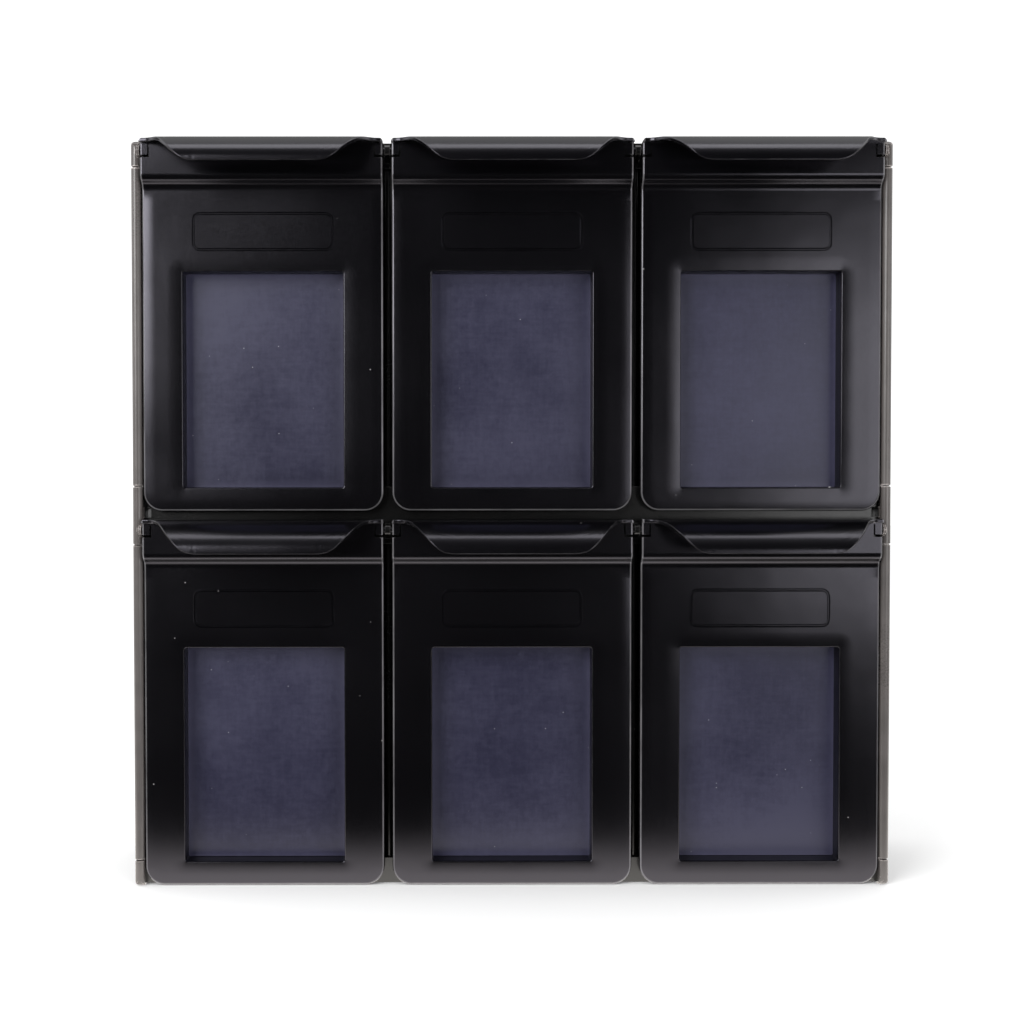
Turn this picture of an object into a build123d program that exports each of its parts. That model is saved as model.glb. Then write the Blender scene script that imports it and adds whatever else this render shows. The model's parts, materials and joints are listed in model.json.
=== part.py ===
from build123d import *
import os
from math import cos, radians, sin

# ---------------------------------------------------------------------------
# Trading card display case: six cells in three columns and two rows, each
# closed by a flip-up door that hangs from two snap-in pins.
# Millimetres. +Z up, front faces -Y, origin at the centre of the footprint.
# F is a distance in front of the door panels' face (towards -Y);
# T is a distance below a door's top edge.
# ---------------------------------------------------------------------------

# driving dimensions: frame
COL_PITCH = 94.9          # column spacing
ROW_PITCH = 143.6         # row spacing
CASE_H = 284.5            # overall height
CAP_X = 144.9             # half width over the decks' end caps
CAP_R = 2.4               # rounding of the top and bottom outer corners
WALL_OUT_X = 144.9        # half width over the outer walls
END_R = 0.7               # bevelled outer corners where walls and end caps meet
WALL_IN_X = 141.2         # inner face of the outer walls
INNER_WALL_T = 3.2        # thickness of the dividing walls
BODY_DEPTH = 72.4         # door panel face to rear plane
RAIL_F = -4.2             # front face of the decks' rails
BEAD_F = 0.9              # crown of the rounded front edge of the side strips
WALL_Z0 = 9.6             # underside of the lower walls
WALL_Z1 = 131.3           # top of the lower walls
FLOOR_Z = 5.6             # cell floor above the row's base
PLATE_T = 2.4             # moulded wall thickness of the decks
BACK_T = 2.4              # back panel thickness
INNER_F = -6.0            # front edge of the dividing walls
NOTCH = 0.6               # shadow gap between a wall and an end cap

# driving dimensions: door
DOOR_W = 91.8
DOOR_H = 140.6
DOOR_TOP_LOW = 140.9      # top edge of the lower doors
SHEET = 2.2               # plate thickness
HEADER_F = 3.6            # header face, stepped forward
BEND_0, BEND_1 = 14.5, 17.1   # corners of the S bend, below the top
BEND_R = (3.0, 3.4)       # outer radii of the S bend
TOP_R = 1.5               # rounding of the door's top corners
FLANGE_F = -3.5           # rear edge of the side and bottom flanges
CORNER_R = 7.3
LIP_REACH, LIP_DROP, LIP_T = 19.9, 11.9, 1.4
LIP_E = 0.35              # rounding of the lip's free edge
LIP_CORE = 21.9           # half length of the lip's straight part
WIN_W, WIN_H = 61.2, 82.4
WIN_TOP = 49.3            # window top edge below the door top
PANE_F = -8.1             # front face of the window pane
POCKET_W, POCKET_H = 64.4, 89.4   # room for the pane, card and backing
POCKET_F = -12.4
PIVOT_T, PIVOT_F = 4.1, 1.6   # hinge axis
PIN_R, PIN_HOLE_R = 1.10, 1.16
TAB_W, TAB_H, SLIT = 2.7, 5.9, 0.6
TAB_IN = 0.25             # tabs stand in from the door's side

# mounting holes in the outer back panels
SCREW_R = 2.25
SCREW_BOSS_R = 7.0

LIP_F = HEADER_F + LIP_REACH
Y0 = (LIP_F - BODY_DEPTH) / 2          # y of the door panels' face
Y_BACK = Y0 + BODY_DEPTH
COLS = {"left": -COL_PITCH, "centre": 0.0, "right": COL_PITCH}
ROWS = {"lower": 0, "upper": 1}
DIV_X = COL_PITCH / 2                  # dividing walls at +-DIV_X


def fy(f):
    """y of a point F in front of the door panels' face."""
    return Y0 - f


def front_plane(x, f, z):
    """Plane facing the front: local x = +X, local y = +Z, normal -Y."""
    return Plane(origin=(x, fy(f), z), x_dir=(1, 0, 0), z_dir=(0, -1, 0))


def side_plane(x):
    """Plane across the width: local x = +Y, local y = +Z, normal +X."""
    return Plane(origin=(x, 0, 0), x_dir=(0, 1, 0), z_dir=(1, 0, 0))


def corner_outline(x, z, sx, sz, r, bevelled=False):
    """Closed outline of the waste outside a rounded or twice bevelled corner at (x, z)."""
    cx, cz = x - sx * r, z - sz * r
    if bevelled:
        Polyline((cx, z), (cx + sx * r * 0.70711, cz + sz * r * 0.70711), (x, cz))
    else:
        ThreePointArc((cx, z), (cx + sx * r * 0.70711, cz + sz * r * 0.70711), (x, cz))
    Polyline((x, cz), (x + sx * 2, cz), (x + sx * 2, z + sz * 2), (cx, z + sz * 2), (cx, z))


os.makedirs("parts", exist_ok=True)

# ---------------------------------------------------------------------------
# decks: ribbed plates with a front rail, wall seats and hinge ears
# ---------------------------------------------------------------------------
TONGUE_T, TONGUE_H = 1.6, 2.6
TONGUE_Y0, TONGUE_Y1 = fy(-14.0), Y_BACK - 12.0
GROOVE_T, GROOVE_H = 1.8, 2.9
BACK_Y0 = Y_BACK - 4.0                 # front face of the back panels
BACK_SLOT = 0.12                       # clearance of the back panel grooves
EAR_R = 2.1
EAR_T = 2.0                            # ears over the dividing walls
TONGUE_X = WALL_IN_X + 1.8
OUT_EAR_X, OUT_EAR_T = 141.58, 1.0     # ears beside the end caps

# name, plate bottom, plate top, rib bottom, seats as (bottom, top), socket
# sides, height of the hinge axis or None
DECKS = [
    ("bottom_deck", FLOOR_Z - PLATE_T, FLOOR_Z, 0.0,
     0.0, WALL_Z0, ("up",), None),
    ("middle_deck", ROW_PITCH + FLOOR_Z - PLATE_T, ROW_PITCH + FLOOR_Z, WALL_Z1 + 2.4,
     WALL_Z1, ROW_PITCH + WALL_Z0, ("up", "down"), DOOR_TOP_LOW - PIVOT_T),
    ("top_deck", CASE_H - PLATE_T, CASE_H, CASE_H - 7.2,
     CASE_H - 9.6, CASE_H, ("down",), CASE_H - PIVOT_T),
]

for name, pz0, pz1, rib_z, seat_z0, seat_z1, sides, axis_z in DECKS:
    inner_half = WALL_IN_X + 0.2
    with BuildPart() as deck:
        # plate
        with BuildSketch(Plane.XY.offset(pz0)):
            with Locations((0, (fy(RAIL_F) + Y_BACK) / 2)):
                Rectangle(2 * inner_half, Y_BACK - fy(RAIL_F))
        extrude(amount=pz1 - pz0)
        # front rail and rear rail
        rail_top = min(pz1, seat_z1)
        with BuildSketch(Plane.XY.offset(rib_z)):
            with Locations((0, fy(RAIL_F) + PLATE_T / 2), (0, Y_BACK - PLATE_T / 2)):
                Rectangle(2 * inner_half, PLATE_T)
        extrude(amount=rail_top - rib_z)
        # cross ribs and long ribs under the plate
        with BuildSketch(Plane.XY.offset(rib_z)):
            with Locations((0, (fy(RAIL_F) + Y_BACK) / 2)):
                with GridLocations(COL_PITCH / 4, 0, 11, 1):
                    Rectangle(1.6, Y_BACK - fy(RAIL_F) - 1.0)
            with Locations((0, 0), (0, 22.0), (0, 0.5 * (fy(RAIL_F) + PLATE_T))):
                Rectangle(2 * inner_half, 1.6)
        extrude(amount=pz0 - rib_z + 0.2)
        # wall seats over the dividing walls
        with BuildSketch(Plane.XY.offset(seat_z0)):
            with Locations((-DIV_X, (fy(RAIL_F) + Y_BACK) / 2), (DIV_X, (fy(RAIL_F) + Y_BACK) / 2)):
                Rectangle(5.2, Y_BACK - fy(RAIL_F))
        extrude(amount=seat_z1 - seat_z0)
        # end caps with a rounded front edge
        for s in (-1, 1):
            with BuildSketch(Plane.XY.offset(seat_z0)):
                with BuildLine():
                    xi, xo = s * WALL_IN_X, s * CAP_X
                    yf = fy(BEAD_F) + (CAP_X - WALL_IN_X) / 2
                    ThreePointArc((xi, yf), ((xi + xo) / 2, fy(BEAD_F)), (xo, yf))
                    Line((xo, yf), (xo, Y_BACK - 1.5))
                    Line((xo, Y_BACK - 1.5), (xo - s * 1.5, Y_BACK))
                    Line((xo - s * 1.5, Y_BACK), (xi, Y_BACK))
                    Line((xi, Y_BACK), (xi, yf))
                make_face()
            extrude(amount=seat_z1 - seat_z0)
        # rounded outer edges of the top and bottom caps
        if name != "middle_deck":
            z_edge, zs = (CASE_H, -1) if name == "top_deck" else (0.0, 1)
            for s in (-1, 1):
                cx, cz = s * (CAP_X - CAP_R), z_edge + zs * CAP_R
                with BuildSketch(front_plane(0, 10, 0)):
                    with BuildLine():
                        ThreePointArc((cx, z_edge), (cx + s * CAP_R * 0.70711, cz - zs * CAP_R * 0.70711),
                                      (cx + s * CAP_R, cz))
                        Polyline((cx + s * CAP_R, cz), (cx + s * (CAP_R + 2), cz),
                                 (cx + s * (CAP_R + 2), z_edge - zs * 2), (cx, z_edge - zs * 2), (cx, z_edge))
                    make_face()
                extrude(amount=-(BODY_DEPTH + 30), mode=Mode.SUBTRACT)
            # the caps' front edge also rounds into the roof or the base
            yc, zc = fy(BEAD_F) + CAP_R, z_edge + zs * CAP_R
            for s in (-1, 1):
                with BuildSketch(side_plane(s * WALL_IN_X)):
                    with BuildLine():
                        ThreePointArc((yc, z_edge), (yc - CAP_R * 0.70711, zc - zs * CAP_R * 0.70711),
                                      (yc - CAP_R, zc))
                        Polyline((yc - CAP_R, zc), (yc - CAP_R - 2, zc), (yc - CAP_R - 2, z_edge - zs * 2),
                                 (yc, z_edge - zs * 2), (yc, z_edge))
                    make_face()
                extrude(amount=s * 6, mode=Mode.SUBTRACT)
        # bevelled outer corners of the caps where they meet the walls
        for s in (-1, 1):
            for side in sides:
                with BuildSketch(front_plane(0, 10, 0)):
                    with BuildLine():
                        if side == "up":
                            corner_outline(s * CAP_X, seat_z1, s, 1, END_R, bevelled=True)
                        else:
                            corner_outline(s * CAP_X, seat_z0, s, -1, END_R, bevelled=True)
                    make_face()
                extrude(amount=-(BODY_DEPTH + 30), mode=Mode.SUBTRACT)
        # coved ends of the middle rail, beside the caps
        if name == "middle_deck":
            for s in (-1, 1):
                with BuildSketch(Plane.XY.offset(141.4)):
                    with BuildLine():
                        xi = s * (WALL_IN_X + 0.2)
                        ThreePointArc((xi, fy(-0.9)), (xi - s * 0.9, fy(-3.0)), (xi - s * 3.2, fy(RAIL_F) + 0.1))
                        Polyline((xi - s * 3.2, fy(RAIL_F) + 0.1), (xi, fy(RAIL_F) + 0.1), (xi, fy(-0.9)))
                    make_face()
                extrude(amount=3.9)
        # tongue sockets for the walls
        for side in sides:
            z = seat_z1 - GROOVE_H if side == "up" else seat_z0
            with BuildSketch(Plane.XY.offset(z)):
                with Locations(*[(x, (TONGUE_Y0 + TONGUE_Y1) / 2)
                                 for x in (-TONGUE_X, -DIV_X, DIV_X, TONGUE_X)]):
                    Rectangle(GROOVE_T, TONGUE_Y1 - TONGUE_Y0 + 0.4)
            extrude(amount=GROOVE_H, mode=Mode.SUBTRACT)
        # grooves that take the edges of the back panels
        for side in sides:
            z = pz1 - 0.8 if side == "up" else rib_z
            with BuildSketch(Plane.XY.offset(z)):
                with Locations(*[(x, BACK_Y0 + BACK_T / 2) for x in COLS.values()]):
                    Rectangle(COL_PITCH - INNER_WALL_T - 0.4 - 2.0, BACK_T + 2 * BACK_SLOT)
            extrude(amount=0.8, mode=Mode.SUBTRACT)
        # hinge ears, bored right through for the door pins
        if axis_z is not None:
            for x, t in ((-DIV_X, EAR_T), (DIV_X, EAR_T), (-OUT_EAR_X, OUT_EAR_T), (OUT_EAR_X, OUT_EAR_T)):
                with BuildSketch(side_plane(x - t / 2)):
                    with Locations((fy(PIVOT_F), axis_z)):
                        Circle(EAR_R)
                    with BuildLine():
                        Polyline((fy(PIVOT_F), axis_z + EAR_R), (fy(RAIL_F) + 1.0, axis_z + EAR_R),
                                 (fy(RAIL_F) + 1.0, axis_z - EAR_R - 1.6), (fy(PIVOT_F), axis_z - EAR_R),
                                 close=True)
                    make_face()
                extrude(amount=t)
            for x, t in ((-DIV_X, 3.4), (DIV_X, 3.4), (-OUT_EAR_X - 0.22, 2.4), (OUT_EAR_X + 0.22, 2.4)):
                with BuildSketch(side_plane(x - t / 2)):
                    with Locations((fy(PIVOT_F), axis_z)):
                        Circle(PIN_HOLE_R)
                extrude(amount=t, mode=Mode.SUBTRACT)
        # shallow stacking tray in the roof
        if name == "top_deck":
            with BuildSketch(Plane.XY.offset(CASE_H - 0.8)):
                with Locations((0, (fy(RAIL_F) + Y_BACK) / 2 + 2)):
                    RectangleRounded(2 * CAP_X - 24, Y_BACK - fy(RAIL_F) - 16, 6)
            extrude(amount=0.8, mode=Mode.SUBTRACT)
    deck.part.label = name
    export_step(deck.part, f"parts/{name}.step")

# ---------------------------------------------------------------------------
# outer walls: flat panels with a half-round front bead and tongues
# ---------------------------------------------------------------------------
for row, r in ROWS.items():
    z0, z1 = WALL_Z0 + r * ROW_PITCH, WALL_Z1 + r * ROW_PITCH
    for side, s in (("left", -1), ("right", 1)):
        with BuildPart() as wall:
            with BuildSketch(Plane.XY.offset(z0)):
                with BuildLine():
                    xi, xo = s * WALL_IN_X, s * WALL_OUT_X
                    yf = fy(BEAD_F) + 1.9
                    ThreePointArc((xi, yf), ((xi + xo) / 2, fy(BEAD_F) + 0.1), (xo, yf))
                    Line((xo, yf), (xo, Y_BACK - 1.5))
                    Line((xo, Y_BACK - 1.5), (xo - s * 1.5, Y_BACK))
                    Line((xo - s * 1.5, Y_BACK), (xi, Y_BACK))
                    Line((xi, Y_BACK), (xi, yf))
                make_face()
            extrude(amount=z1 - z0)
            # bevelled outer corners and a shadow gap across the bead at both ends
            for z, sz in ((z0, -1), (z1, 1)):
                with BuildSketch(front_plane(0, 10, 0)):
                    with BuildLine():
                        corner_outline(xo, z, s, sz, END_R, bevelled=True)
                    make_face()
                extrude(amount=-(BODY_DEPTH + 30), mode=Mode.SUBTRACT)
            with BuildSketch(side_plane(s * (WALL_IN_X - 1.6))):
                with Locations((fy(-0.15), z0 + NOTCH / 2 - 0.01), (fy(-0.15), z1 - NOTCH / 2 + 0.01)):
                    Rectangle(2.7, NOTCH)
            extrude(amount=s * 7.0, mode=Mode.SUBTRACT)
            # shallow panel recess on the outside
            with BuildSketch(side_plane(xo)):
                with Locations(((fy(-8) + Y_BACK - 8) / 2, (z0 + z1) / 2)):
                    RectangleRounded(Y_BACK - 8 - fy(-8), z1 - z0 - 16, 5)
            extrude(amount=-s * 0.7, mode=Mode.SUBTRACT)
            # groove for the back panel
            with BuildSketch(Plane.XY.offset(z0)):
                with Locations((xi + s * 0.4, BACK_Y0 + BACK_T / 2)):
                    Rectangle(1.4, BACK_T + 2 * BACK_SLOT)
            extrude(amount=z1 - z0, mode=Mode.SUBTRACT)
            # tongues into the decks
            with BuildSketch(Plane.XY.offset(z0 - TONGUE_H)):
                with Locations((s * TONGUE_X, (TONGUE_Y0 + TONGUE_Y1) / 2)):
                    Rectangle(TONGUE_T, TONGUE_Y1 - TONGUE_Y0)
            extrude(amount=TONGUE_H + 0.5)
            with BuildSketch(Plane.XY.offset(z1 - 0.5)):
                with Locations((s * TONGUE_X, (TONGUE_Y0 + TONGUE_Y1) / 2)):
                    Rectangle(TONGUE_T, TONGUE_Y1 - TONGUE_Y0)
            extrude(amount=TONGUE_H + 0.5)
        label = f"outer_wall_{row}_{side}"
        wall.part.label = label
        export_step(wall.part, f"parts/{label}.step")

# ---------------------------------------------------------------------------
# dividing walls between the columns
# ---------------------------------------------------------------------------
for row, r in ROWS.items():
    z0, z1 = WALL_Z0 + r * ROW_PITCH, WALL_Z1 + r * ROW_PITCH
    for side, s in (("left", -1), ("right", 1)):
        with BuildPart() as divider:
            with BuildSketch(Plane.XY.offset(z0)):
                with BuildLine():
                    x1, x2 = s * DIV_X - INNER_WALL_T / 2, s * DIV_X + INNER_WALL_T / 2
                    yf = fy(INNER_F) + INNER_WALL_T / 2
                    ThreePointArc((x1, yf), (s * DIV_X, fy(INNER_F)), (x2, yf))
                    Line((x2, yf), (x2, Y_BACK))
                    Line((x2, Y_BACK), (x1, Y_BACK))
                    Line((x1, Y_BACK), (x1, yf))
                make_face()
            extrude(amount=z1 - z0)
            with BuildSketch(Plane.XY.offset(z0)):
                with Locations((s * DIV_X - INNER_WALL_T / 2, BACK_Y0 + BACK_T / 2),
                               (s * DIV_X + INNER_WALL_T / 2, BACK_Y0 + BACK_T / 2)):
                    Rectangle(1.8, BACK_T + 2 * BACK_SLOT)
            extrude(amount=z1 - z0, mode=Mode.SUBTRACT)
            with BuildSketch(Plane.XY.offset(z0 - TONGUE_H)):
                with Locations((s * DIV_X, (TONGUE_Y0 + TONGUE_Y1) / 2)):
                    Rectangle(TONGUE_T, TONGUE_Y1 - TONGUE_Y0)
            extrude(amount=TONGUE_H + 0.5)
            with BuildSketch(Plane.XY.offset(z1 - 0.5)):
                with Locations((s * DIV_X, (TONGUE_Y0 + TONGUE_Y1) / 2)):
                    Rectangle(TONGUE_T, TONGUE_Y1 - TONGUE_Y0)
            extrude(amount=TONGUE_H + 0.5)
        label = f"divider_{row}_{side}"
        divider.part.label = label
        export_step(divider.part, f"parts/{label}.step")

# ---------------------------------------------------------------------------
# back panels, held in grooves all round
# ---------------------------------------------------------------------------
for row, r in ROWS.items():
    cell_z0 = r * ROW_PITCH + FLOOR_Z - 0.7
    cell_z1 = (WALL_Z1 + 2.4 if r == 0 else CASE_H - 7.2) + 0.7
    for col, xc in COLS.items():
        if col == "centre":
            bx0, bx1 = -DIV_X + 0.9, DIV_X - 0.9
        elif col == "left":
            bx0, bx1 = -WALL_IN_X - 0.9, -DIV_X - 0.9
        else:
            bx0, bx1 = DIV_X + 0.9, WALL_IN_X + 0.9
        tx = COL_PITCH - INNER_WALL_T - 2.8
        with BuildPart() as back:
            # panel between the seats, with narrower tongues top and bottom
            with BuildSketch(front_plane((bx0 + bx1) / 2, -BODY_DEPTH + 4.0,
                                         (r * ROW_PITCH + WALL_Z0 + r * ROW_PITCH + WALL_Z1) / 2)):
                Rectangle(bx1 - bx0, WALL_Z1 - WALL_Z0 - 0.2)
            extrude(amount=-BACK_T)
            with BuildSketch(front_plane(xc, -BODY_DEPTH + 4.0, (cell_z0 + cell_z1) / 2)):
                Rectangle(tx, cell_z1 - cell_z0)
            extrude(amount=-BACK_T)
            # stiffening ribs on the rear
            with BuildSketch(front_plane(xc, -BODY_DEPTH + 4.0 - BACK_T, r * ROW_PITCH + 70.4)):
                with Locations((0, 32), (0, -32)):
                    Rectangle(72, 1.6)
                with Locations((-30, 0), (30, 0)):
                    Rectangle(1.6, 92)
            extrude(amount=-1.0)
            if col != "centre":
                with BuildSketch(front_plane(xc, -BODY_DEPTH + 4.0 - BACK_T, r * ROW_PITCH + 70.4)):
                    Circle(SCREW_BOSS_R)
                extrude(amount=-(4.0 - BACK_T))
                with BuildSketch(front_plane(xc, -BODY_DEPTH + 5.0, r * ROW_PITCH + 70.4)):
                    Circle(SCREW_R)
                extrude(amount=-6.0, mode=Mode.SUBTRACT)
        label = f"back_panel_{row}_{col}"
        back.part.label = label
        export_step(back.part, f"parts/{label}.step")

# ---------------------------------------------------------------------------
# doors
# ---------------------------------------------------------------------------
# the lip's free edge: distance in from the door's side, and how far round the
# ellipse of the lip the edge lies there, in degrees
LIP_EDGE = [(0.0, 4.5), (2.4, 5.4), (4.4, 8.2), (6.2, 14.2), (7.8, 23.0), (9.3, 33.2), (10.8, 43.6), (12.3, 53.0),
            (13.8, 61.8), (15.3, 70.0), (16.8, 77.3), (18.4, 83.2), (20.2, 87.2), (22.2, 89.3), (24.0, 90.0)]


def lip_section(turn, z_top, steps=8):
    """Outer points, inner points and the four corner points of the free edge."""
    outer, inner = [], []
    for k in range(steps + 1):
        q = radians(turn) * k / steps
        f, t = LIP_REACH * sin(q), LIP_DROP * (1 - cos(q))
        nf, nt = f / LIP_REACH ** 2, (LIP_DROP - t) / LIP_DROP ** 2
        n = (nf * nf + nt * nt) ** 0.5
        nf, nt = nf / n, nt / n
        outer.append((fy(HEADER_F + f), z_top - t))
        inner.insert(0, (fy(HEADER_F + f - LIP_T * nf), z_top - t - LIP_T * nt))
    # along the sheet (forwards and down) and through it, as (y, z) steps
    ay, az, iy, iz = -nt * LIP_E, -nf * LIP_E, nf * LIP_E, -nt * LIP_E
    (oy, oz), (jy, jz) = outer[-1], inner[0]
    c = 1 - 0.70711
    arc_o = (oy + ay * 0.70711 + iy * c, oz + az * 0.70711 + iz * c)
    end_o = (oy + ay + iy, oz + az + iz)
    end_i = (jy + ay - iy, jz + az - iz)
    arc_i = (jy + ay * 0.70711 - iy * c, jz + az * 0.70711 - iz * c)
    return outer, inner, (arc_o, end_o, end_i, arc_i)


def lip_outline(turn, z_top):
    """Lines of the lip's section, from the root over the outside to the inside."""
    outer, inner, (arc_o, end_o, end_i, arc_i) = lip_section(turn, z_top)
    Spline(*outer)
    ThreePointArc(outer[-1], arc_o, end_o)
    Line(end_o, end_i)
    ThreePointArc(end_i, arc_i, inner[0])
    Spline(*inner)
    return outer, inner


for row, r in ROWS.items():
    z_top = DOOR_TOP_LOW + r * ROW_PITCH
    for col, xc in COLS.items():
        with BuildPart() as door:
            # shell: stepped profile across the full width
            with BuildSketch(side_plane(xc - DOOR_W / 2)):
                with BuildLine():
                    FilletPolyline((fy(HEADER_F), z_top), (fy(HEADER_F), z_top - BEND_0),
                                   (fy(0), z_top - BEND_1), (fy(0), z_top - DOOR_H / 2), radius=list(BEND_R))
                    Polyline((fy(0), z_top - DOOR_H / 2), (fy(0), z_top - DOOR_H),
                             (fy(FLANGE_F), z_top - DOOR_H), (fy(FLANGE_F), z_top - 13.0),
                             (fy(0.6), z_top - 8.0), (fy(0.6), z_top), (fy(HEADER_F), z_top))
                make_face()
            extrude(amount=DOOR_W)
            with BuildSketch(front_plane(xc, 30, z_top - DOOR_H / 2)):
                Rectangle(DOOR_W, DOOR_H)
                fillet(vertices().group_by(Axis.Y)[0], radius=CORNER_R)
            extrude(amount=-60, mode=Mode.INTERSECT)
            # soft front edge along the sides and the bottom
            front_edges = [e for e in door.part.edges()
                           if e.center().Y < fy(0) + 0.01
                           and (abs(abs(e.center().X - xc) - DOOR_W / 2) < 0.01
                                or e.center().Z < z_top - DOOR_H + CORNER_R)
                           and abs(e.bounding_box().size.Y) < HEADER_F + 0.01
                           and (e.bounding_box().size.Z > 1 or e.length > 20)
                           and not (e.geom_type == GeomType.LINE and abs(e.center().Z - z_top) < 0.01)]
            fillet(front_edges, radius=0.9)
            # hollow back
            with BuildSketch(side_plane(xc - DOOR_W / 2 + 1.8)):
                with BuildLine():
                    FilletPolyline((fy(HEADER_F - SHEET), z_top - 1.8), (fy(HEADER_F - SHEET), z_top - BEND_0 - 1.1),
                                   (fy(-SHEET), z_top - BEND_1 - 1.1), (fy(-SHEET), z_top - DOOR_H / 2),
                                   radius=[0.6, 5.0])
                    Polyline((fy(-SHEET), z_top - DOOR_H / 2), (fy(-SHEET), z_top - DOOR_H + 7.0),
                             (fy(-20), z_top - DOOR_H + 7.0), (fy(-20), z_top - 1.8),
                             (fy(HEADER_F - SHEET), z_top - 1.8))
                make_face()
            extrude(amount=DOOR_W - 3.6, mode=Mode.SUBTRACT)
            with BuildSketch(front_plane(xc, -SHEET, z_top - DOOR_H + 6.0)):
                Rectangle(DOOR_W - 3.6, 8.4)
                fillet(vertices().group_by(Axis.Y)[0], radius=CORNER_R - 3.2)
            extrude(amount=-20, mode=Mode.SUBTRACT)
            # window tunnel and card pocket behind the panel
            with BuildSketch(front_plane(xc, -SHEET, z_top - WIN_TOP - WIN_H / 2)):
                Rectangle(WIN_W + 3.2, WIN_H + 3.2)
            extrude(amount=-(-SHEET - PANE_F) - 0.01)
            with BuildSketch(front_plane(xc, PANE_F + 1.5, z_top - WIN_TOP - WIN_H + POCKET_H / 2)):
                Rectangle(POCKET_W + 2.8, POCKET_H + 3.2)
            extrude(amount=-(PANE_F + 1.5 - POCKET_F))
            with BuildSketch(front_plane(xc, PANE_F, z_top - WIN_TOP - WIN_H + POCKET_H / 2)):
                Rectangle(POCKET_W, POCKET_H)
            extrude(amount=-10, mode=Mode.SUBTRACT)
            with BuildSketch(front_plane(xc, 1.0, z_top - WIN_TOP - WIN_H / 2)):
                RectangleRounded(WIN_W, WIN_H, 0.9)
            extrude(amount=-10, mode=Mode.SUBTRACT)
            # snap lugs that hold the card backing
            with BuildSketch(front_plane(xc, -11.65, z_top - WIN_TOP - WIN_H + POCKET_H / 2)):
                with GridLocations(POCKET_W - 0.8, 50, 2, 2):
                    Rectangle(0.9, 7)
            extrude(amount=-0.75)
            # softened window edge
            rim = [e for e in door.part.edges()
                   if abs(e.center().Y - fy(0)) < 0.01 and abs(e.bounding_box().size.Y) < 0.01
                   and abs(e.center().X - xc) < WIN_W / 2 + 0.1
                   and z_top - WIN_TOP - WIN_H - 0.1 < e.center().Z < z_top - WIN_TOP + 0.1]
            fillet(rim, radius=0.45)
            # plain label recess with a raised inner field
            with BuildSketch(front_plane(xc, 0, z_top - 34.2)):
                RectangleRounded(54, 15, 3.2)
            extrude(amount=-0.6, taper=40, mode=Mode.SUBTRACT)
            with BuildSketch(front_plane(xc, -0.6, z_top - 34.2)):
                RectangleRounded(52.4, 13.4, 2.4)
            extrude(amount=0.55, taper=40)
            # finger lip: straight part
            with BuildSketch(side_plane(xc - LIP_CORE)):
                with BuildLine():
                    outer, inner = lip_outline(90, z_top)
                    Polyline(inner[-1], (fy(HEADER_F - 1.2), z_top - LIP_T), (fy(HEADER_F - 1.2), z_top), outer[0])
                make_face()
            extrude(amount=2 * LIP_CORE)
        # the lip's ends shorten towards the corners in an S curve
        ends = []
        for s in (-1, 1):
            with BuildPart() as lip_end:
                for d, turn in LIP_EDGE:
                    with BuildSketch(side_plane(xc + s * (DOOR_W / 2 - d))):
                        with BuildLine():
                            outer, inner = lip_outline(turn, z_top)
                            Line(inner[-1], outer[0])
                        make_face()
                loft()
            ends.append(lip_end)
        with BuildPart() as whole:
            add(door.part)
            for lip_end in ends:
                add(lip_end.part)
            for s in (-1, 1):
                xe = xc + s * DOOR_W / 2
                # tab slits: side of the tab and below it
                x_in = xe - s * (TAB_IN + TAB_W + SLIT / 2)
                with BuildSketch(front_plane(x_in, HEADER_F + 0.1, z_top - 2.0 - (TAB_H - 1.0) / 2)):
                    Rectangle(SLIT, TAB_H - 1.0)
                extrude(amount=-6.0, mode=Mode.SUBTRACT)
                with BuildSketch(front_plane(xe - s * (TAB_IN + TAB_W + SLIT) / 2, HEADER_F + 0.1,
                                             z_top - TAB_H - 0.5)):
                    Rectangle(TAB_IN + TAB_W + SLIT + 0.02, 1.0)
                extrude(amount=-6.0, mode=Mode.SUBTRACT)
                # the tab's outer side stands in to clear the hinge ear
                with BuildSketch(front_plane(xe - s * (TAB_IN / 2 - 0.5), HEADER_F + 0.5, z_top - 1.5 - TAB_H / 2)):
                    Rectangle(TAB_IN + 1.0, TAB_H + 0.02)
                extrude(amount=-8.0, mode=Mode.SUBTRACT)
                # thicker tab root that carries the pin
                with BuildSketch(side_plane(xe - s * (TAB_IN + TAB_W))):
                    with Locations((fy(PIVOT_F), z_top - PIVOT_T)):
                        Circle(1.8)
                extrude(amount=s * TAB_W)
                with BuildSketch(side_plane(xe - s * (TAB_IN + TAB_W))):
                    with Locations((fy(PIVOT_F), z_top - PIVOT_T)):
                        Circle(PIN_R)
                extrude(amount=s * (TAB_W + TAB_IN + 1.5))
                # rounded top corner
                with BuildSketch(front_plane(0, HEADER_F + 8, 0)):
                    with BuildLine():
                        corner_outline(xe, z_top, s, 1, TOP_R)
                    make_face()
                extrude(amount=-30, mode=Mode.SUBTRACT)
        label = f"door_{row}_{col}"
        whole.part.label = label
        export_step(whole.part, f"parts/{label}.step")

        # window pane, lying in the card pocket
        with BuildPart() as pane:
            with BuildSketch(front_plane(xc, PANE_F, z_top - WIN_TOP - WIN_H + POCKET_H / 2)):
                Rectangle(POCKET_W - 0.3, POCKET_H - 0.3)
            extrude(amount=-1.2)
        label = f"window_pane_{row}_{col}"
        pane.part.label = label
        export_step(pane.part, f"parts/{label}.step")

        # card backing, snapped behind the lugs
        with BuildPart() as backing:
            with BuildSketch(front_plane(xc, -10.3, z_top - WIN_TOP - WIN_H + POCKET_H / 2)):
                Rectangle(POCKET_W - 0.4, POCKET_H - 0.4)
            extrude(amount=-1.2)
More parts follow.
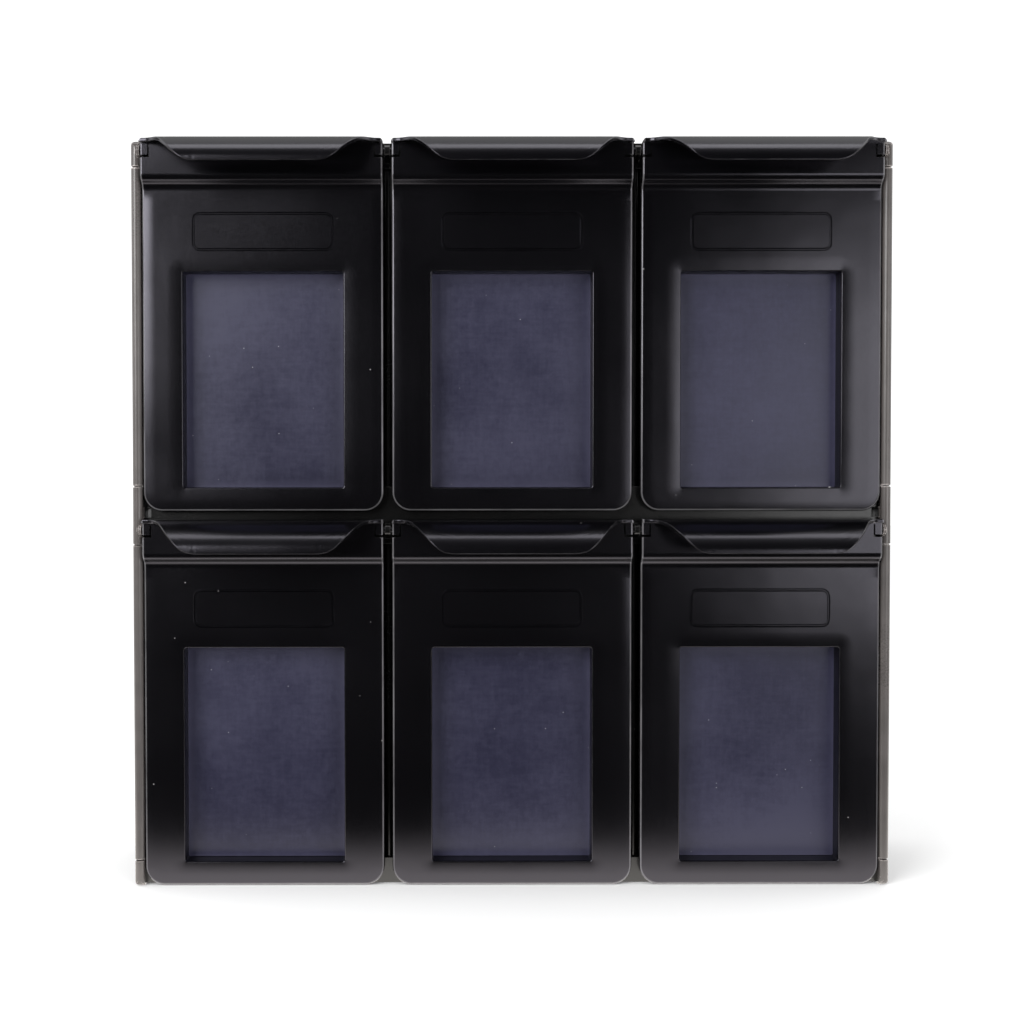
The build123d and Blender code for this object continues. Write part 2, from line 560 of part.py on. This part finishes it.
            # thumb notch for pushing the card up
            with BuildSketch(front_plane(xc, -10.2, z_top - WIN_TOP - WIN_H + POCKET_H - 2)):
                SlotOverall(22, 14)
            extrude(amount=-2, mode=Mode.SUBTRACT)
        label = f"card_backing_{row}_{col}"
        backing.part.label = label
        export_step(backing.part, f"parts/{label}.step")
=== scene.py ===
import bpy, math, json
from mathutils import Vector, Matrix, Euler

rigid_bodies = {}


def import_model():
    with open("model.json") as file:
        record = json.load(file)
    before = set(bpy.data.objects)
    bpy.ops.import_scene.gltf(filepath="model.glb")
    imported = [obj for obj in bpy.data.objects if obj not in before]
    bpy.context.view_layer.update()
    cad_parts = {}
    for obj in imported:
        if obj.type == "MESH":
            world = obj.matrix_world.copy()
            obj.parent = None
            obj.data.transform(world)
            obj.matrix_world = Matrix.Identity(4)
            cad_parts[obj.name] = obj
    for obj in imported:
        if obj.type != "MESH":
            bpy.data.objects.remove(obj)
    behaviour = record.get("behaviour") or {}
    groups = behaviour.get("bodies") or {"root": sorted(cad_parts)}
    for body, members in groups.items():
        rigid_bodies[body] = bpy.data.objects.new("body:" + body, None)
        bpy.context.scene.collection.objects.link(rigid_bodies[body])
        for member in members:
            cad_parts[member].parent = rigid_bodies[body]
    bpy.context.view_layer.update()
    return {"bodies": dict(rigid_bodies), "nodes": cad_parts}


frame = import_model()
nodes, bodies = frame["nodes"], frame["bodies"]
scene = bpy.context.scene

# ------------------------------------------------------------------ camera
Y_FACE = -0.02445                 # y of the door panels' face
cam_data = bpy.data.cameras.new("camera")
cam_data.sensor_width = 36.0
cam_data.lens = 1440 / 1024 * 36.0
cam_data.clip_start, cam_data.clip_end = 0.01, 20
cam = bpy.data.objects.new("camera", cam_data)
scene.collection.objects.link(cam)
cam.location = (-0.0270, Y_FACE - 0.550, 0.1569)
cam_data.shift_x = 0.0650          # the photograph is framed a little to the right of the lens axis
cam.rotation_euler = Euler((math.radians(90 - 1.39), math.radians(0.05), math.radians(-0.159)), "XYZ")
scene.camera = cam

# ------------------------------------------------------------------ looks
scene.view_settings.view_transform = "Standard"
scene.view_settings.look = "None"
scene.view_settings.exposure = 0.0

world = bpy.data.worlds.new("studio")
scene.world = world
world.use_nodes = True
wn, wl = world.node_tree.nodes, world.node_tree.links
wn.clear()
out = wn.new("ShaderNodeOutputWorld")
mix = wn.new("ShaderNodeMixShader")
path = wn.new("ShaderNodeLightPath")
# glossy surfaces see a studio that is dark in front and behind and bright at the
# sides, so black plastic stays black; everything else sees a plain white room
direction = wn.new("ShaderNodeTexCoord")
axes = wn.new("ShaderNodeSeparateXYZ")
wl.new(direction.outputs["Generated"], axes.inputs[0])
half = wn.new("ShaderNodeMapRange")
half.inputs["From Min"].default_value, half.inputs["From Max"].default_value = -1.0, 1.0
wl.new(axes.outputs["Y"], half.inputs["Value"])
room = wn.new("ShaderNodeValToRGB")
room.color_ramp.interpolation = "B_SPLINE"
stops = [(0.0, 0.0015), (0.03, 0.0025), (0.16, 0.026), (0.32, 0.17), (0.50, 0.85), (0.66, 0.85), (0.84, 0.22), (1.0, 0.08)]
while len(room.color_ramp.elements) < len(stops):
    room.color_ramp.elements.new(0.5)
for e, (pos, v) in zip(room.color_ramp.elements, stops):
    e.position = pos
    e.color = (v, v, v, 1)
wl.new(half.outputs["Result"], room.inputs["Fac"])
above = wn.new("ShaderNodeMapRange")          # dimmer overhead
above.inputs["From Min"].default_value, above.inputs["From Max"].default_value = 0.25, 0.95
above.inputs["To Min"].default_value, above.inputs["To Max"].default_value = 2.3, 0.9
wl.new(axes.outputs["Z"], above.inputs["Value"])
dim = wn.new("ShaderNodeBackground")
wl.new(room.outputs["Color"], dim.inputs["Color"])
wl.new(above.outputs["Result"], dim.inputs["Strength"])
white = wn.new("ShaderNodeBackground"); white.inputs["Color"].default_value = (1, 1, 1, 1); white.inputs["Strength"].default_value = 1.2
wl.new(path.outputs["Is Glossy Ray"], mix.inputs[0])
wl.new(white.outputs[0], mix.inputs[1]); wl.new(dim.outputs[0], mix.inputs[2])
wl.new(mix.outputs[0], out.inputs[0])
world.cycles.sampling_method = "NONE"


def area(name, loc, aim, size, power, colour=(1, 1, 1), spread=180):
    data = bpy.data.lights.new(name, "AREA")
    data.shape = "RECTANGLE"
    data.size, data.size_y = size
    data.energy = power
    data.color = colour
    data.spread = math.radians(spread)
    o = bpy.data.objects.new(name, data)
    scene.collection.objects.link(o)
    o.location = loc
    o.rotation_euler = (Vector(aim) - Vector(loc)).to_track_quat("-Z", "Y").to_euler()
    return o


area("softbox_right", (0.640, -0.88, 0.10), (0.05, -0.02, 0.10), (0.70, 0.60), 3.7)
area("softbox_left", (-0.66, -0.86, 0.56), (-0.05, -0.02, 0.20), (0.62, 0.66), 9.6)
area("softbox_top", (0.0, -0.08, 0.95), (0, -0.05, 0.15), (0.8, 0.26), 1.3)


# --------------------------------------------------------------- materials
def tree(name):
    m = bpy.data.materials.new(name)
    m.use_nodes = True
    n, l = m.node_tree.nodes, m.node_tree.links
    return m, n, l, n["Principled BSDF"]


def coords(n):
    return n.new("ShaderNodeTexCoord").outputs["Object"]


def noise(n, l, vec, scale, detail=3.0, rough=0.5):
    t = n.new("ShaderNodeTexNoise")
    t.inputs["Scale"].default_value = scale
    t.inputs["Detail"].default_value = detail
    t.inputs["Roughness"].default_value = rough
    l.new(vec, t.inputs["Vector"])
    return t.outputs["Fac"]


def ramp(n, l, fac, stops):
    r = n.new("ShaderNodeValToRGB")
    while len(r.color_ramp.elements) < len(stops):
        r.color_ramp.elements.new(0.5)
    for e, (p, c) in zip(r.color_ramp.elements, stops):
        e.position = p
        e.color = (*c, 1) if len(c) == 3 else c
    l.new(fac, r.inputs["Fac"])
    return r.outputs["Color"]


def maprange(n, l, fac, lo, hi, a=0.0, b=1.0):
    m = n.new("ShaderNodeMapRange")
    m.inputs["From Min"].default_value = a
    m.inputs["From Max"].default_value = b
    m.inputs["To Min"].default_value = lo
    m.inputs["To Max"].default_value = hi
    l.new(fac, m.inputs["Value"])
    return m.outputs["Result"]


def math_node(n, l, op, a, b=None):
    m = n.new("ShaderNodeMath")
    m.operation = op
    for k, v in enumerate((a, b)):
        if v is None:
            continue
        if isinstance(v, (int, float)):
            m.inputs[k].default_value = v
        else:
            l.new(v, m.inputs[k])
    return m.outputs[0]


def mix_colour(n, l, fac, a, b):
    m = n.new("ShaderNodeMix")
    m.data_type = "RGBA"
    if isinstance(fac, (int, float)):
        m.inputs["Factor"].default_value = fac
    else:
        l.new(fac, m.inputs["Factor"])
    for key, v in (("A", a), ("B", b)):
        sock = [i for i in m.inputs if i.name == key and i.type == "RGBA"][0]
        if isinstance(v, tuple):
            sock.default_value = (*v, 1)
        else:
            l.new(v, sock)
    return [o for o in m.outputs if o.type == "RGBA"][0]


def mix_value(n, l, fac, a, b):
    """a where fac is 0, b where it is 1."""
    keep = math_node(n, l, "MULTIPLY", a, math_node(n, l, "SUBTRACT", 1.0, fac))
    return math_node(n, l, "ADD", keep, math_node(n, l, "MULTIPLY", fac, b))


def specks(n, l, vec, scale, size, share):
    """Sparse small dots: 1 on a dot, 0 elsewhere."""
    v = n.new("ShaderNodeTexVoronoi")
    v.feature = "F1"
    v.inputs["Scale"].default_value = scale
    v.inputs["Randomness"].default_value = 1.0
    l.new(vec, v.inputs["Vector"])
    near = maprange(n, l, v.outputs["Distance"], 1.0, 0.0, size * 0.6, size)
    sep = n.new("ShaderNodeSeparateColor")
    l.new(v.outputs["Color"], sep.inputs[0])
    pick = math_node(n, l, "LESS_THAN", sep.outputs[0], share)
    return math_node(n, l, "MULTIPLY", near, pick)


def edge_mask(n, l, radius):
    """1 on outside edges, 0 on flats, from how far a rounded normal leans off the real one."""
    bev = n.new("ShaderNodeBevel")
    bev.samples = 4
    bev.inputs["Radius"].default_value = radius
    geo = n.new("ShaderNodeNewGeometry")
    dot = n.new("ShaderNodeVectorMath"); dot.operation = "DOT_PRODUCT"
    l.new(bev.outputs[0], dot.inputs[0]); l.new(geo.outputs["Normal"], dot.inputs[1])
    return maprange(n, l, dot.outputs["Value"], 1.0, 0.0, 0.80, 0.99)


def on_door(n, l, vec):
    """Coordinates on any door: across from its centre line, height above its row's base, depth."""
    sep = n.new("ShaderNodeSeparateXYZ")
    l.new(vec, sep.inputs[0])
    wrap = n.new("ShaderNodeMath"); wrap.operation = "WRAP"
    l.new(sep.outputs["X"], wrap.inputs[0])
    wrap.inputs[1].default_value, wrap.inputs[2].default_value = COL / 2, -COL / 2
    up = math_node(n, l, "FLOORED_MODULO", sep.outputs["Z"], ROW)
    return wrap.outputs[0], up, sep.outputs["Y"]


def beyond_rect(n, l, x, z, half_w, mid_z, half_h, corner):
    """Signed distance outside a rectangle with rounded corners."""
    dx = math_node(n, l, "SUBTRACT", math_node(n, l, "ABSOLUTE", x), half_w - corner)
    dz = math_node(n, l, "SUBTRACT", math_node(n, l, "ABSOLUTE", math_node(n, l, "SUBTRACT", z, mid_z)), half_h - corner)
    ox = math_node(n, l, "MAXIMUM", dx, 0.0)
    oz = math_node(n, l, "MAXIMUM", dz, 0.0)
    far = math_node(n, l, "SQRT", math_node(n, l, "ADD", math_node(n, l, "MULTIPLY", ox, ox), math_node(n, l, "MULTIPLY", oz, oz)))
    near = math_node(n, l, "MINIMUM", math_node(n, l, "MAXIMUM", dx, dz), 0.0)
    return math_node(n, l, "SUBTRACT", math_node(n, l, "ADD", far, near), corner)


def roll_off(n, l, dist, width, drop):
    """Height that falls away as a parabola over the last stretch before dist = 0."""
    t = maprange(n, l, dist, 1.0, 0.0, 0.0, width)
    return math_node(n, l, "MULTIPLY", math_node(n, l, "MULTIPLY", t, t), -drop)


def height_bump(n, l, height, normal=None):
    """Bump from a height in metres."""
    b = n.new("ShaderNodeBump")
    b.inputs["Strength"].default_value = 1.0
    b.inputs["Distance"].default_value = 1.0
    l.new(height, b.inputs["Height"])
    if normal is not None:
        l.new(normal, b.inputs["Normal"])
    return b.outputs[0]


def black_plastic(name, base, wear_and_highlight, rough, grain, warp, dust, tint=(1, 1, 1), door=False, wear=0.0004, caps=None):
    m, n, l, p = tree(name)
    vec = coords(n)
    cloud = noise(n, l, vec, 16, 4)
    broad = noise(n, l, vec, 34, 2, 0.4)
    fine = noise(n, l, vec, 1500, 2)
    colour = ramp(n, l, cloud, [(0.3, base), (0.75, tuple(c * 1.35 for c in base))])
    if caps:
        # the rounded front of the walls and end caps is painted greyer than the rest: a painted sheen for the side
        # light these fronts catch, partly also wear from rubbing, with a much lighter painted highlight on their
        # edges
        sep = n.new("ShaderNodeSeparateXYZ")
        l.new(vec, sep.inputs[0])
        at_end = math_node(n, l, "MULTIPLY",
                           maprange(n, l, math_node(n, l, "ABSOLUTE", sep.outputs["X"]), 0.0, 1.0, 0.1407, 0.1410),
                           maprange(n, l, sep.outputs["Y"], 1.0, 0.0, Y_FACE + 0.0014, Y_FACE + 0.0040))
        rubbed_and_sheen = ramp(n, l, noise(n, l, vec, 90, 3), [(0.3, tuple(c * 0.85 for c in caps[0])), (0.7, tuple(c * 1.15 for c in caps[0]))])
        colour = mix_colour(n, l, at_end, colour, rubbed_and_sheen)
        wear_and_highlight = mix_colour(n, l, at_end, wear_and_highlight, caps[1])
    # outside edges are painted lighter: partly wear, partly a painted highlight standing in for the glints that
    # rounded edges catch
    edges = edge_mask(n, l, wear)
    patchy = math_node(n, l, "MULTIPLY", edges, maprange(n, l, noise(n, l, vec, 260, 3), 0.2, 1.0, 0.4, 0.6))
    if door:
        # the middle of the panel, above the window, gets none of the lighter colour along the edges
        x, z, y = on_door(n, l, vec)
        plain_middle = beyond_rect(n, l, x, z, 0.037, DOOR_TOP - 0.0335, 0.0135, 0.001)
        patchy = math_node(n, l, "MULTIPLY", patchy, maprange(n, l, plain_middle, 0.06, 1.0, -0.001, 0.001))
        # nor do the slits beside the hinge tabs, behind the lip
        slits = beyond_rect(n, l, x, z, 0.0445, DOOR_TOP - 0.0045, 0.0038, 0.0003)
        lip = maprange(n, l, y, 1.0, 0.0, Y_FACE - 0.0046, Y_FACE - 0.0040)
        patchy = math_node(n, l, "MULTIPLY", patchy, math_node(n, l, "MAXIMUM", lip, maprange(n, l, slits, 0.1, 1.0, -0.0003, 0.0003)))
    colour = mix_colour(n, l, patchy, colour, wear_and_highlight)
    dots = specks(n, l, vec, 240, 0.075, dust)
    colour = mix_colour(n, l, dots, colour, (0.16, 0.155, 0.15))
    r = math_node(n, l, "ADD", maprange(n, l, cloud, rough[0], rough[1], 0.3, 0.7),
                  maprange(n, l, fine, -0.02, 0.02, 0.3, 0.7))
    r = math_node(n, l, "ADD", r, math_node(n, l, "MULTIPLY", dots, 0.4))
    p.inputs["IOR"].default_value = 1.57
    p.inputs["Specular Tint"].default_value = (*tint, 1)
    height = math_node(n, l, "MULTIPLY", broad, warp * 0.001)     # gentle sink marks of the moulding
    if door:
        x, z, y = on_door(n, l, vec)
        win = beyond_rect(n, l, x, z, WIN_W / 2, WIN_MID, WIN_H / 2, 0.0009)
        rim = math_node(n, l, "MULTIPLY", beyond_rect(n, l, x, z, DOOR_W / 2, DOOR_MID + 0.02, DOOR_H / 2 + 0.02, 0.0073), -1.0)
        rolled = math_node(n, l, "ADD", roll_off(n, l, win, 0.0060, 0.00026), roll_off(n, l, rim, 0.0050, 0.00026))
        # the panel alone rolls off: not its step, its lip or its back
        panel = math_node(n, l, "MULTIPLY",
                          maprange(n, l, y, 1.0, 0.0, Y_FACE + 0.0006, Y_FACE + 0.0012),
                          maprange(n, l, z, 1.0, 0.0, DOOR_TOP - 0.0225, DOOR_TOP - 0.0190))
        height = math_node(n, l, "ADD", height, math_node(n, l, "MULTIPLY", rolled, panel))
        # inside of the window's tunnel: deep shade
        tunnel = math_node(n, l, "MULTIPLY", maprange(n, l, win, 1.0, 0.0, 0.0001, 0.0006),
                           maprange(n, l, y, 0.0, 1.0, Y_FACE + 0.0003, Y_FACE + 0.0010))
        colour = mix_colour(n, l, tunnel, colour, (0.0008, 0.0008, 0.001))
        r = mix_value(n, l, tunnel, r, 0.30)
        # a painted highlight: a thin lighter line along the turn of the rim, standing in for the glint its rounded
        # turn catches
        line = math_node(n, l, "MULTIPLY", maprange(n, l, rim, 0.0, 1.0, 0.0001, 0.0004), maprange(n, l, rim, 1.0, 0.0, 0.0006, 0.0009))
        line = math_node(n, l, "MULTIPLY", line, maprange(n, l, y, 1.0, 0.0, Y_FACE + 0.0004, Y_FACE + 0.0010))
        line = math_node(n, l, "MULTIPLY", line, maprange(n, l, noise(n, l, vec, 60, 3), 0.45, 1.0, 0.3, 0.6))
        colour = mix_colour(n, l, line, colour, (0.105, 0.102, 0.106))
    l.new(colour, p.inputs["Base Color"])
    l.new(r, p.inputs["Roughness"])
    b1 = height_bump(n, l, height)
    b2 = n.new("ShaderNodeBump")          # fine tool grain
    b2.inputs["Strength"].default_value = grain
    b2.inputs["Distance"].default_value = 0.00005
    l.new(fine, b2.inputs["Height"])
    l.new(b1, b2.inputs["Normal"])
    l.new(b2.outputs[0], p.inputs["Normal"])
    return m


# sizes that the patterns on the doors follow, in metres
COL, ROW = 0.0949, 0.1436
DOOR_W, DOOR_H, DOOR_TOP = 0.0918, 0.1406, 0.1409
DOOR_MID = DOOR_TOP - DOOR_H / 2
WIN_W, WIN_H = 0.0612, 0.0824
WIN_MID = DOOR_TOP - 0.0493 - WIN_H / 2

# grey of the rounded wall and cap fronts and the far lighter colour of their edges: painted sheen and painted
# highlight, partly wear
SIDE, SIDE_WEAR_AND_HIGHLIGHT = (0.066, 0.0585, 0.0560), (0.52, 0.465, 0.445)
mat_case = black_plastic("case_satin_black", (0.0018, 0.0017, 0.0017), (0.04, 0.038, 0.037), (0.20, 0.27), 0.20, 0.10, 0.03,
                         wear=0.0006, caps=(SIDE, SIDE_WEAR_AND_HIGHLIGHT))
# outer walls and end caps: a rougher copy of the case plastic whose lighter base is partly a painted sheen for the
# side light they catch
mat_side = black_plastic("side_satin_black", (0.0045, 0.0042, 0.0041), (0.07, 0.066, 0.064), (0.26, 0.34), 0.20, 0.10, 0.03,
                         wear=0.0009, caps=(SIDE, SIDE_WEAR_AND_HIGHLIGHT))
mat_door = black_plastic("door_satin_black", (0.0010, 0.00095, 0.0013), (0.11, 0.107, 0.112), (0.17, 0.24), 0.06, 0.22, 0.03,
                         tint=(0.90, 0.87, 1.0), door=True)
mat_back = black_plastic("backing_matt", (0.05, 0.05, 0.075), (0.07, 0.07, 0.09), (0.6, 0.75), 0.3, 0.0, 0.0)

m, n, l, p = tree("window_haze")
vec = coords(n)
haze = noise(n, l, vec, 14, 3, 0.55)
mottle = noise(n, l, vec, 520, 3, 0.7)
warp_v = n.new("ShaderNodeMapping"); warp_v.inputs["Scale"].default_value = (1.0, 1.0, 0.12)
l.new(vec, warp_v.inputs["Vector"])
warp_h = n.new("ShaderNodeMapping"); warp_h.inputs["Scale"].default_value = (0.12, 1.0, 1.0)
l.new(vec, warp_h.inputs["Vector"])
weave = math_node(n, l, "ADD", noise(n, l, warp_v.outputs["Vector"], 900, 2), noise(n, l, warp_h.outputs["Vector"], 900, 2))
both = math_node(n, l, "ADD", math_node(n, l, "MULTIPLY", haze, 0.54),
                 math_node(n, l, "ADD", math_node(n, l, "MULTIPLY", mottle, 0.20), math_node(n, l, "MULTIPLY", weave, 0.08)))
colour = ramp(n, l, both, [(0.37, (0.0128, 0.0125, 0.0295)), (0.53, (0.0250, 0.0245, 0.0505))])
# the pane is painted lighter towards its rim: painted light that makes up for the shade the window's tunnel casts
# there and stands in for the glint along the rim
x, z, y = on_door(n, l, vec)
rim = beyond_rect(n, l, x, z, WIN_W / 2, WIN_MID, WIN_H / 2, 0.0009)
edge = maprange(n, l, rim, 0.0, 1.0, -0.0045, 0.0004)
edge = math_node(n, l, "MULTIPLY", edge, edge)
colour = mix_colour(n, l, math_node(n, l, "MULTIPLY", edge, 0.45), colour, (0.075, 0.072, 0.120))
dots = specks(n, l, vec, 300, 0.085, 0.10)
colour = mix_colour(n, l, dots, colour, (0.13, 0.13, 0.15))
l.new(colour, p.inputs["Base Color"])
l.new(maprange(n, l, both, 0.30, 0.44, 0.38, 0.62), p.inputs["Roughness"])
p.inputs["Specular Tint"].default_value = (0.93, 0.93, 1.0, 1)
l.new(height_bump(n, l, math_node(n, l, "MULTIPLY", noise(n, l, vec, 45, 2), 0.00012)), p.inputs["Normal"])
mat_pane = m

for name, o in nodes.items():
    if name.startswith("door_"):
        mt = mat_door
    elif name.startswith("window_pane"):
        mt = mat_pane
    elif name.startswith("card_backing"):
        mt = mat_back
    elif name.startswith(("outer_wall", "cap_")):
        mt = mat_side
    else:
        mt = mat_case
    o.data.materials.clear()
    o.data.materials.append(mt)

# ------------------------------------------------------------------- floor
bpy.ops.mesh.primitive_plane_add(size=8, location=(0, 0, 0))
floor = bpy.context.object
floor.name = "floor"
fm, n, l, p = tree("floor_pale")
p.inputs["Base Color"].default_value = (0.88, 0.88, 0.88, 1)
p.inputs["Roughness"].default_value = 0.9
p.inputs["Specular IOR Level"].default_value = 0.2
# glossy rays see the floor as a warm glowing sheet, bright just in front of the case and fading away further in
# front and behind: a painted reflection of a lit floor near the case
lp = n.new("ShaderNodeLightPath")
tc = n.new("ShaderNodeTexCoord")
parts = n.new("ShaderNodeSeparateXYZ"); l.new(tc.outputs["Object"], parts.inputs[0])
far = n.new("ShaderNodeMapRange"); far.interpolation_type = "SMOOTHSTEP"
far.inputs["From Min"].default_value, far.inputs["From Max"].default_value = Y_FACE - 0.088, Y_FACE - 0.001
far.inputs["To Min"].default_value, far.inputs["To Max"].default_value = 0.03, 2.45
l.new(parts.outputs["Y"], far.inputs["Value"])
seen = n.new("ShaderNodeEmission")
seen.inputs["Color"].default_value = (1.0, 0.955, 0.905, 1)
behind = n.new("ShaderNodeMapRange"); behind.interpolation_type = "SMOOTHSTEP"
behind.inputs["From Min"].default_value, behind.inputs["From Max"].default_value = 0.050, 0.110
behind.inputs["To Min"].default_value, behind.inputs["To Max"].default_value = 1.0, 0.12
l.new(parts.outputs["Y"], behind.inputs["Value"])
l.new(math_node(n, l, "MULTIPLY", far.outputs["Result"], behind.outputs["Result"]), seen.inputs["Strength"])
mixf = n.new("ShaderNodeMixShader")
l.new(lp.outputs["Is Glossy Ray"], mixf.inputs[0]); l.new(p.outputs[0], mixf.inputs[1]); l.new(seen.outputs[0], mixf.inputs[2])
l.new(mixf.outputs[0], n["Material Output"].inputs["Surface"])
floor.data.materials.append(fm)
